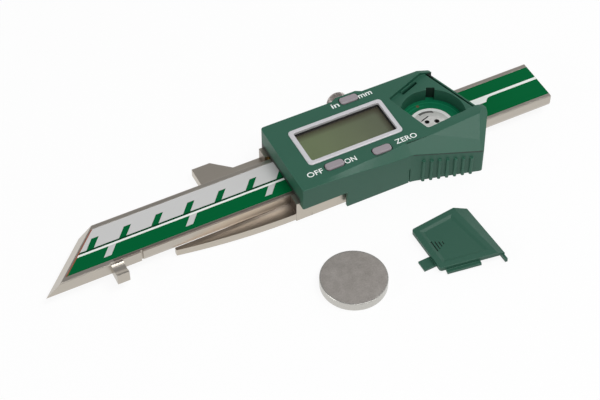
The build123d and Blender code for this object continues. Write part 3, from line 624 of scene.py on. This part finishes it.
def moulded(name, colour, rough, edge=0.22, plastic_shade_mask=None):
    """Fine-grained moulded plastic; soft edges get a painted highlight, deep narrow hollows painted shade.
    """
    finish, start = new_finish(name)
    skin = grain(start, 2400)
    cloud = grain(start, 70, 2.0)
    soft = rounded(start, edge)
    flat = start.add("ShaderNodeNewGeometry", out="Normal")
    bend = start.add("ShaderNodeVectorMath", {0: soft, 1: flat}, out="Value", operation="DOT_PRODUCT")
    rubbed_and_lit_edge = ((1 - bend) * edge_rub_and_light_gain).math("MINIMUM", 1.0)
    # Edges are painted paler here as a highlight, and a little glossier where rubbed.
    body = (rubbed_and_lit_edge * edge_highlight_share).mix(cloud.mix(shade(colour, 0.88), colour), shade(colour, 1.9, 0.012))
    # Deep narrow hollows are painted near black here as shade.
    if plastic_shade_mask:
        body = (plastic_shade_mask(start) * hollow_shade_strength).mix(body, hollow_shade_black)
    close_finish(start, Base_Color=body, Roughness=rough + skin * 0.10 + cloud * 0.05 - rubbed_and_lit_edge * 0.06,
                 Specular_IOR_Level=moulded_sheen, Normal=bumped(start, skin, 0.012, soft))
    return finish


near_wall_y = -14.05
grip_start_x = 7.0
grip_lean = -5.85 / 21.3
housing_low, housing_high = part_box("housing")
key_nodes = ("in_mm_button", "power_button", "zero_button")
cap_half_x = 3.0
cap_half_y = 1.35
cap_gap = 0.36
pocket_start_depth = 0.2
well_x = 20.3
well_y = -2.4
well_radius = 10.25
notch_turn = math.radians(65.0)
notch_half = 1.4
notch_top_z = 12.9
left_gap_depth = 0.3
left_gap_top_z = 9.2
left_gap_near_y = -12.2
lip_start_x = 6.9
lip_start_y = -13.7
lip_z = 11.93
lip_fall = 0.1413
lip_shade_height = 0.4
lip_shade_strength = 0.9


def head_shade(start):
    """Painted shade mask: well notch, gaps round the key caps, gap at the left end, and the grip's lip."""
    x, y, z = place_in_mm(start)
    outward = (x - well_x) * math.cos(notch_turn) + (y - well_y) * math.sin(notch_turn)
    sideways = (y - well_y) * math.cos(notch_turn) - (x - well_x) * math.sin(notch_turn)
    hollow = (outward > well_radius) * between(sideways, -notch_half, notch_half) * (z < notch_top_z)
    in_pocket = z < housing_high.z / mm - pocket_start_depth
    for node in key_nodes:
        low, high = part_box(node)
        cap_x = (low.x + high.x) / 2 / mm
        cap_y = high.y / mm - cap_half_y
        in_x = between(x, cap_x - cap_half_x - cap_gap, cap_x + cap_half_x + cap_gap)
        in_y = between(y, cap_y - cap_half_y - cap_gap, cap_y + cap_half_y + cap_gap)
        hollow = hollow.math("MAXIMUM", in_x * in_y * in_pocket)
    left_gap = (x < housing_low.x / mm + left_gap_depth) * (z < left_gap_top_z) * (y > left_gap_near_y)
    along_lip = x - lip_start_x
    on_lip = between(lip_z - lip_fall * along_lip - z, 0, lip_shade_height) * (along_lip > 0)
    on_lip = on_lip * (y < lip_start_y + grip_lean * along_lip)
    return hollow.math("MAXIMUM", left_gap).math("MAXIMUM", on_lip * lip_shade_strength)


head_top_z = 14.5
solid_facet = [(-32.0, 0.75, 0.6), (-17.0, 1.8, 1.6), (-7.0, 1.9, 1.9), (5.5, 2.65, 3.2), (28.0, 9.9, 5.9),
               (38.0, 13.0, 7.7)]
moulded_facet = [(-32.0, 0.85, 0.02), (-23.0, 1.25, 0.05), (-16.4, 1.65, 0.65), (-11.4, 1.95, 0.95),
                 (-2.9, 2.5, 2.05), (1.8, 2.6, 2.3), (6.4, 3.2, 2.5), (14.74, 4.935, 3.66)]
facet_peak = Vector((14.74, -11.24, head_top_z))
facet_end = Vector((32.25, -10.05, head_top_z))
facet_knee = Vector((28.48, -16.87, 10.98))
grip_corner = Vector((27.9, -19.5, 9.0))
side_foot = Vector((35.5, -9.5, 12.5))
facet_foot_z = 8.0
facet_reach = (-0.2, 1.002)
facet_near = 0.01
facet_top_share = 0.99
upright = 0.05
facet_crease = 1.5
other_crease = 30.0
merged_point = 0.002 * mm


def facet_at(stations, x):
    """Wall, width and drop of a facet at x, from its stations."""
    rows = [(at, near_wall_y + grip_lean * max(0.0, at - grip_start_x), wide, drop)
            for at, wide, drop in stations]
    low, high = next(pair for pair in zip(rows, rows[1:]) if x <= pair[1][0] or pair[1] is rows[-1])
    share = (x - low[0]) / (high[0] - low[0])
    return [first + (second - first) * share for first, second in zip(low[1:], high[1:])]


def height_on(first, second, third, x, y):
    """Height at x and y of the plane through three points."""
    out = (second - first).cross(third - first)
    return first.z - (out.x * (x - first.x) + out.y * (y - first.y)) / out.z


def moulded_crease_y(x):
    """Where the facet meets the level top, on the moulding."""
    if x < facet_peak.x:
        wall, wide, _ = facet_at(moulded_facet, x)
        return wall + wide
    return facet_peak.y + (x - facet_peak.x) * (facet_end.y - facet_peak.y) / (facet_end.x - facet_peak.x)


def moulded_height(x, y):
    """Height of the facet, on the moulding."""
    if x < facet_peak.x:
        wall, wide, drop = facet_at(moulded_facet, x)
        return min(head_top_z, head_top_z - drop * (1 - (y - wall) / wide))
    return min(head_top_z, height_on(facet_peak, facet_knee, grip_corner, x, y),
               height_on(facet_peak, facet_end, facet_knee, x, y))


def cut(work, at, across, faces, clear=False):
    """Cuts faces along a plane, clears what lies beyond it if asked, and gives the new points and edges."""
    geometry = set(faces)
    for face in faces:
        geometry.update(face.verts, face.edges)
    return bmesh.ops.bisect_plane(work, geom=list(geometry), plane_co=at * mm, plane_no=across,
                                  dist=same_point, clear_outer=clear)["geom_cut"]


def moulded_head():
    """A merged copy of the solid head, its near edge's facets redrawn as the moulding has them."""
    work = bmesh.new()
    work.from_mesh(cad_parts["housing"].data)
    bmesh.ops.remove_doubles(work, verts=work.verts, dist=merged_point)
    for x, _, _ in moulded_facet[1:]:
        cut(work, Vector((x, 0, 0)), Vector((1, 0, 0)), work.faces[:])
    near = set()
    for vertex in work.verts:
        x, y, z = vertex.co / mm
        wall, wide, drop = facet_at(solid_facet, x)
        share = (y - wall) / wide
        off_facet = abs(z - head_top_z + drop * (1 - share))
        if facet_reach[0] < share < facet_reach[1] and off_facet < facet_near and z > facet_foot_z:
            near.add(vertex)
            on_wall = any(abs(face.normal.z) < upright for face in vertex.link_faces)
            new_wall = facet_at(moulded_facet, x)[0]
            if share >= facet_top_share or not on_wall:
                y = new_wall + share * (moulded_crease_y(x) - new_wall)
            vertex.co = Vector((x, y, moulded_height(x, y))) * mm
    facet_faces = [face for face in work.faces if all(vertex in near for vertex in face.verts)]
    along = facet_knee - facet_peak
    for item in cut(work, facet_peak, Vector((-along.y, along.x, 0)), facet_faces):
        if isinstance(item, bmesh.types.BMVert):
            x, y, z = item.co / mm
            item.co.z = moulded_height(x, y) * mm
            near.add(item)
    side = (side_foot - facet_end).cross(facet_knee - facet_end)
    side = side if side.z > 0 else -side
    side_cut = cut(work, facet_end, side, work.faces[:], True)
    rim = [item for item in side_cut if isinstance(item, bmesh.types.BMEdge)]
    bmesh.ops.holes_fill(work, edges=rim)
    near.update(vertex for edge in rim if edge.is_valid for vertex in edge.verts)
    bmesh.ops.triangulate(work, faces=[face for face in work.faces if len(face.verts) > 3])
    bmesh.ops.recalc_face_normals(work, faces=work.faces)
    for face in work.faces:
        face.smooth = True
    for edge in work.edges:
        on_creases = all(vertex in near for vertex in edge.verts)
        edge.smooth = edge.calc_face_angle(0) < math.radians(facet_crease if on_creases else other_crease)
    mesh = bpy.data.meshes.new("moulded_head")
    work.to_mesh(mesh)
    work.free()
    return mesh


housing_plastic = moulded("moulded_green_plastic", head_green, 0.42, plastic_shade_mask=head_shade)
head = new_piece("moulded_head", moulded_head(), housing_plastic, "slider")
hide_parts("housing")

# Display: a silver-lacquered frame snapped into the head, a clear window and a reflective panel behind it.
# Rubber strips join the panel to the board, and a thin black frame at the panel's edges stands for shadow.
silver, start = new_finish("silver_lacquer")
flake = grain(start, 5200, 1.0)
close_finish(start, Base_Color=flake.mix(rgb(206, 205, 208), rgb(222, 220, 224)), Metallic=0.25,
             Roughness=0.36, Normal=bumped(start, flake, 0.004, rounded(start, 0.18)))
dress("display_bezel", silver)

clear, start = new_finish("clear_window")
glance = start.add("ShaderNodeLayerWeight", {"Blend": 0.5}, out="Facing")
smear = grain(start, 140)
close_finish(start, Base_Color=rgb(60, 66, 60), Roughness=0.05 + smear * 0.05, IOR=1.45,
             Alpha=0.05 + glance.math("POWER", 5.0) * 0.9)
dress("display_window", clear)

olive_left = rgb(115, 130, 92)
olive_right = rgb(92, 97, 80)
olive_cloud = rgb(130, 140, 108)
olive_shade = rgb(66, 58, 44)
panel_border = 1.0
far_shade_reach = 2.8
right_shade_reach = 2.2
panel_low, panel_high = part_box("lcd_panel")
panel_left = panel_low.x / mm
panel_right = panel_high.x / mm
panel_far = panel_high.y / mm


def clear_of(edge, value, reach):
    """From 0 at the border of an edge to 1 where its shadow ends."""
    return ((edge - panel_border - value) / reach).math("MAXIMUM", 0.0).math("MINIMUM", 1.0)


panel, start = new_finish("reflective_panel")
x, y, z = place_in_mm(start)
cloud = grain(start, 120, 2.0)
olive = ((x - panel_left) / (panel_right - panel_left)).mix(olive_left, olive_right)
olive = (cloud * 0.25).mix(olive, olive_cloud)
# Painted shadow: the panel darkens towards its far and right edges; it is also darker towards its right
# end.
open_light = clear_of(panel_far, y, far_shade_reach) * clear_of(panel_right, x, right_shade_reach)
close_finish(start, Base_Color=open_light.mix(olive_shade, olive), Roughness=0.45)
dress("lcd_panel", panel)

rubber_and_shadow_black, start = new_finish("black_rubber")
pore = grain(start, 1600, 2.0)
close_finish(start, Base_Color=pore.mix(rgb(26, 25, 25), rgb(44, 42, 42)), Roughness=0.75,
             Normal=bumped(start, pore, 0.03, rounded(start, 0.05)))
dress("zebra_strips", rubber_and_shadow_black)


def frame_strip(name, low, high, near, far, left, right, heights):
    """A flat rectangular ring between two heights, with its own width on each side."""
    outer = [(low.x, low.y), (high.x, low.y), (high.x, high.y), (low.x, high.y)]
    inner = [(low.x + left, low.y + near), (high.x - right, low.y + near),
             (high.x - right, high.y - far), (low.x + left, high.y - far)]
    points = [(px, py, height) for height in heights for px, py in outer + inner]
    faces = []
    for side in range(4):
        after = (side + 1) % 4
        faces += [(side, after, after + 4, side + 4), (side + 8, side + 12, after + 12, after + 8),
                  (side, side + 8, after + 8, after), (side + 4, after + 4, after + 12, side + 12)]
    mesh = bpy.data.meshes.new(name)
    mesh.from_pydata(points, [], faces)
    fix_normals(mesh)
    return mesh


# A thin black frame, wider at the far and right sides, is put over the panel's edges as shadow.
shadow_frame_narrow = 0.8 * mm
shadow_frame_wide = 1.0 * mm
shadow_frame_heights = (panel_high.z + 0.005 * mm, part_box("display_window")[0].z - 0.01 * mm)
shadow_frame = frame_strip("display_shadow_frame", panel_low, panel_high, shadow_frame_narrow, shadow_frame_wide, shadow_frame_narrow,
                     shadow_frame_wide, shadow_frame_heights)
new_piece("display_shadow_frame", shadow_frame, rubber_and_shadow_black, "slider")

# Keys: three short rounded keys of warm grey soft plastic, each in its own pocket.
# They are moulded with a flange under the housing's top and a stem over the switch.
key_grey = rgb(152, 144, 149)
key_plastic = moulded("warm_grey_key_plastic", key_grey, 0.50, 0.15)
for node in key_nodes:
    dress(node, key_plastic)

# Key lettering: short white words beside the keys, pad-printed on the top of the head.
# Each word has a name, its text, the middle of its place in x and y, and its width and height.
words = [("in_word", "in", -5.6, 12.8, 2.5, 1.9), ("mm_word", "mm", 4.8, 12.8, 4.6, 1.4),
         ("off_word", "OFF", -23.8, -9.2, 5.2, 1.9), ("on_word", "ON", -12.0, -9.2, 3.8, 1.9),
         ("zero_word", "ZERO", 7.0, -9.0, 7.2, 1.9)]
word_ink = print_ink("white_key_ink", rgb(246, 250, 247))
word_rise = ink_thickness * 0.4
stroke_gain = 0.010
curve_steps = 5


def printed_word(name, text, centre_x, centre_y, width, height):
    """One word as a thin raised film, stretched to its width and height in millimetres."""
    curve = bpy.data.curves.new(name, "FONT")
    curve.body = text
    curve.extrude = 0.5
    curve.offset = stroke_gain
    curve.resolution_u = curve_steps
    maker = bpy.data.objects.new("maker", curve)
    bpy.context.collection.objects.link(maker)
    graph = bpy.context.evaluated_depsgraph_get()
    mesh = bpy.data.meshes.new_from_object(maker.evaluated_get(graph), depsgraph=graph)
    bpy.data.objects.remove(maker)
    xs = [vertex.co.x for vertex in mesh.vertices]
    ys = [vertex.co.y for vertex in mesh.vertices]
    wide = width * mm / (max(xs) - min(xs))
    high = height * mm / (max(ys) - min(ys))
    scale = Matrix.Diagonal((wide, high, ink_thickness, 1))
    to_middle = Matrix.Translation((-(max(xs) + min(xs)) / 2, -(max(ys) + min(ys)) / 2, 0))
    place = Matrix.Translation((centre_x * mm, centre_y * mm, housing_high.z + word_rise))
    mesh.transform(place @ scale @ to_middle)
    new_piece(name, mesh, word_ink, "slider")


for word in words:
    printed_word(*word)

# Coin cell: a nickel-plated steel can with a rolled rim, lying beside the gauge.
# Its flat face is finely blasted and lightly scratched, and its turned rim is brighter.
rim_grey = rgb(192, 190, 184)
face_dark = rgb(138, 130, 122)
face_light = rgb(218, 213, 207)
cell_face_radius = 9.6
cell_face_depth = 0.05
cell_low, cell_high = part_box("coin_cell")
cell_x = (cell_low.x + cell_high.x) / 2 / mm
cell_y = (cell_low.y + cell_high.y) / 2 / mm

can, start = new_finish("plated_cell_can")
x, y, z = place_in_mm(start)
reach = reach_from(x - cell_x, y - cell_y)
on_face = (z > cell_high.z / mm - cell_face_depth) * (reach < cell_face_radius)
blast = grain(start, 2200, 4.0)
patch = grain(start, 420)
scratch = grain(start, (300, 6000, 300), 2.0)
face_tone = (blast * 0.5 + patch * 0.5).mix(face_dark, face_light)
close_finish(start, Base_Color=on_face.mix(rim_grey, face_tone), Metallic=1.0,
             Roughness=0.24 + on_face * 0.14 + scratch * 0.08,
             Normal=bumped(start, on_face * blast * 0.8 + scratch * 0.2, 0.02, rounded(start, 0.12)))
dress("coin_cell", can)

# Battery cover: the moulded lid of the bay, taken off, with its tab, clip rib and sunk arrow bars.
# It is the same fine-grained plastic as the head, from its own mould.
# The floors and walls of its sunk arrow bars are painted dark as shade.
cover_green = rgb(36, 84, 67)
cover_lean_x = 0.05
cover_lean_y = -0.01
arrow_left_x = -1.2
arrow_right_x = 3.0
arrow_near_y = -43.4
arrow_far_y = -38.6
arrow_shade_depth = 0.14


def over_cover(x, y, z):
    """Height measured square to the cover's top, which leans a little as it lies."""
    return z - cover_lean_x * x - cover_lean_y * y


cover_points = [vertex.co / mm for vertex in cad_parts["battery_cover"].data.vertices]
panel_height = max(over_cover(*point) for point in cover_points
                   if arrow_left_x < point.x < arrow_right_x and arrow_near_y < point.y < arrow_far_y)


def arrow_bar_shade(start):
    """Mask of painted shade on the floors and walls of the sunk arrow bars."""
    x, y, z = place_in_mm(start)
    beside = between(x, arrow_left_x, arrow_right_x) * between(y, arrow_near_y, arrow_far_y)
    return beside * (over_cover(x, y, z) < panel_height - arrow_shade_depth)


dress("battery_cover", moulded("moulded_cover_plastic", cover_green, 0.42, plastic_shade_mask=arrow_bar_shade))

# Studio: a white paper floor under soft lamps, with the camera where the photograph was taken.
# The wall behind is bright near the floor and greyer overhead, which the steel's top faces mirror.
white = (1.0, 1.0, 1.0, 1.0)
floor_dim = (0.66, 0.66, 0.66, 1.0)
floor_bright = (0.95, 0.95, 0.95, 1.0)
floor_glow = 0.90
floor_gap = 0.02 * mm
floor_reach = 6.0
floor_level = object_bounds()[0].z - floor_gap
floor_mesh = bpy.data.meshes.new("floor")
floor_mesh.from_pydata([(-floor_reach, -floor_reach, floor_level), (floor_reach, -floor_reach, floor_level),
                        (floor_reach, floor_reach, floor_level), (-floor_reach, floor_reach, floor_level)],
                       [], [(0, 1, 2, 3)])
floor = bpy.data.objects.new("floor", floor_mesh)
bpy.context.collection.objects.link(floor)


def seen_or_mirrored(start):
    """1 for what the camera sees, also in metal or through glass, and 0 for light on the object."""
    kinds = ("Is Camera Ray", "Is Glossy Ray", "Is Transmission Ray")
    camera_ray, glossy_ray, clear_ray = [start.add("ShaderNodeLightPath", out=kind) for kind in kinds]
    return (camera_ray + glossy_ray + clear_ray).math("MINIMUM", 1.0)


paper, start = new_finish("white_paper")
seen = seen_or_mirrored(start)
lit = start.add("ShaderNodeBsdfDiffuse", {"Color": seen.mix(floor_dim, floor_bright)})
glow = start.add("ShaderNodeEmission", {"Color": white, "Strength": 1.0})
lit_and_glow = start.add("ShaderNodeMixShader", {0: seen * floor_glow, 1: lit, 2: glow})
start.end("ShaderNodeOutputMaterial", "Surface", lit_and_glow)
floor_mesh.materials.append(paper)

overhead = (0.36, 0.36, 0.37, 1.0)
sky_light = 0.62
world = bpy.data.worlds.new("studio")
bpy.context.scene.world = world
world.use_nodes = True
world.node_tree.nodes.clear()
start = Wire(world.node_tree)
heading = start.add("ShaderNodeTexCoord", out="Generated")
height = start.add("ShaderNodeSeparateXYZ", {"Vector": heading}, out="Z")
sky_stops = [(0.0, white), (0.30, white), (0.62, overhead)]
sky = start.add("ShaderNodeValToRGB", {"Fac": height}, stops=sky_stops)
strength = sky_light + seen_or_mirrored(start) * (1.0 - sky_light)
backdrop = start.add("ShaderNodeBackground", {"Color": sky, "Strength": strength})
start.end("ShaderNodeOutputWorld", "Surface", backdrop)

lamp_distance = 0.9
lit_middle = Vector((-0.02, 0, 0))


def lamp(name, heading, size, power):
    """A soft square lamp that faces the object from a heading."""
    light = bpy.data.lights.new(name, "AREA")
    light.size = size
    light.energy = power
    holder = bpy.data.objects.new(name, light)
    bpy.context.collection.objects.link(holder)
    towards = Vector(heading).normalized()
    holder.location = lit_middle + towards * lamp_distance
    holder.rotation_euler = towards.to_track_quat("Z", "Y").to_euler()


lamp("overhead_box", (0.08, -0.40, 0.92), 0.46, 3.2)
lamp("nose_lamp", (0.42, -0.20, 0.90), 0.28, 1.7)
lamp("right_lamp", (0.85, 0.30, 0.62), 0.35, 0.6)
lamp("left_lamp", (-0.90, -0.05, 0.35), 0.30, 1.5)

photo_width_px = 600
lens_px = 1665.561
sensor_width = 36.0
near_clip = 0.01
camera_turn = math.radians(-26.718)
camera_lift = math.radians(48.774)
camera_roll = math.radians(-0.236)
camera_target = Vector((-26.813, -5.210, 0.0)) * mm
camera_distance = 503.604 * mm
back = Vector((math.sin(camera_turn) * math.cos(camera_lift),
               -math.cos(camera_turn) * math.cos(camera_lift), math.sin(camera_lift)))
right = Vector((math.cos(camera_turn), math.sin(camera_turn), 0.0))
up = back.cross(right)
rolled_right = right * math.cos(camera_roll) + up * math.sin(camera_roll)
rolled_up = up * math.cos(camera_roll) - right * math.sin(camera_roll)
lens = bpy.data.cameras.new("photo_camera")
lens.sensor_width = sensor_width
lens.lens = lens_px / photo_width_px * sensor_width
lens.clip_start = near_clip
camera = bpy.data.objects.new("photo_camera", lens)
bpy.context.collection.objects.link(camera)
axes = Matrix((rolled_right, rolled_up, back)).transposed().to_4x4()
camera.matrix_world = Matrix.Translation(camera_target + back * camera_distance) @ axes
bpy.context.scene.camera = camera
bpy.context.scene.view_settings.view_transform = "Standard"
